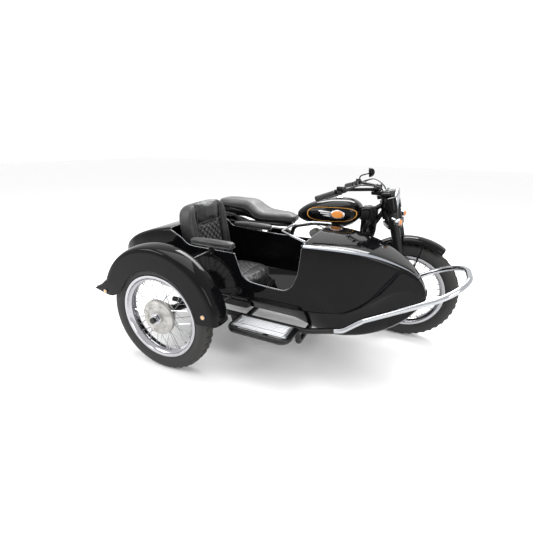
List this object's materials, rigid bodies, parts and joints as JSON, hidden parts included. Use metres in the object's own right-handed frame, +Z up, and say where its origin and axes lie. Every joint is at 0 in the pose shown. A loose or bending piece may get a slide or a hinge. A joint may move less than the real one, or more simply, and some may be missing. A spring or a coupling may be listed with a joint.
{
  "type": "sidecar motorcycle",
  "caption": "Classic single-cylinder motorcycle with a boat-nosed passenger sidecar on its right, steerable front fork, spoked wheels that roll, and a chrome bumper.",
  "frame": {"origin": "centre of the outfit's outline on the floor, under the middle of its length and width", "axes": "+X forward along the motorcycle, +Y to the rider's left, +Z up; the sidecar is on the -Y side"},
  "size_m": [2.141, 1.527, 1.1065],
  "materials": {
    "gloss_black": "gloss",
    "frame_black": "satin",
    "bright_chrome": "polished",
    "cast_alloy": "cast",
    "black_leather": "satin",
    "tyre_rubber": "matte",
    "black_rubber": "matte",
    "amber_lens": "gloss",
    "red_lens": "gloss"
  },
  "bodies": {
    "outfit": {"main_frame": "frame_black", "swing_arm": "frame_black", "rear_shocks": "bright_chrome", "crankcase": "cast_alloy", "cylinder": "cast_alloy", "exhaust": "bright_chrome", "fuel_tank": "gloss_black", "rider_seat": "black_leather", "side_boxes": "gloss_black", "rear_mudguard": "gloss_black", "rear_lamps": "red_lens", "chain_case": "gloss_black", "footrests": "black_rubber", "foot_controls": "bright_chrome", "sidecar_frame": "frame_black", "sidecar_axle": "frame_black", "footboard": "frame_black", "bumper": "bright_chrome", "sidecar_floor": "gloss_black", "sidecar_nose": "gloss_black", "sidecar_deck": "gloss_black", "sidecar_wall_right": "gloss_black", "sidecar_wall_left": "gloss_black", "sidecar_tail": "gloss_black", "coaming_rail": "bright_chrome", "sidecar_cushion": "black_leather", "sidecar_backrest": "black_leather", "armrests": "black_leather", "sidecar_mudguard": "gloss_black", "marker_lamps": "amber_lens"},
    "steering": {"fork_legs": "frame_black", "fork_yokes": "frame_black", "headlamp": "gloss_black", "handlebar": "bright_chrome", "grips": "black_rubber", "levers": "frame_black", "mirror": "frame_black", "front_indicators": "bright_chrome", "front_mudguard": "gloss_black"},
    "front_wheel_set": {"front_wheel": "bright_chrome", "front_tyre": "tyre_rubber"},
    "rear_wheel_set": {"rear_wheel": "bright_chrome", "rear_tyre": "tyre_rubber"},
    "side_wheel_set": {"side_wheel": "bright_chrome", "side_tyre": "tyre_rubber"},
    "stand": {"centre_stand": "frame_black"}
  },
  "joints": [
    {"name": "steer", "type": "hinge", "parent": "outfit", "child": "steering", "pos_m": [0.54613, 0.362, 0.866], "axis": [-0.2672, 0, 0.9636], "range_deg": [-32, 32]},
    {"name": "front_wheel_spin", "type": "hinge", "parent": "steering", "child": "front_wheel_set", "pos_m": [0.7395, 0.362, 0.331], "axis": [0, 1, 0], "continuous": true},
    {"name": "rear_wheel_spin", "type": "hinge", "parent": "outfit", "child": "rear_wheel_set", "pos_m": [-0.6305, 0.362, 0.331], "axis": [0, 1, 0], "continuous": true},
    {"name": "side_wheel_spin", "type": "hinge", "parent": "outfit", "child": "side_wheel_set", "pos_m": [-0.4785, -0.678, 0.331], "axis": [0, 1, 0], "continuous": true},
    {"name": "stand_fold", "type": "hinge", "parent": "outfit", "child": "stand", "pos_m": [-0.2155, 0.362, 0.214], "axis": [0, 1, 0], "range_deg": [-51, 0]}
  ]
}
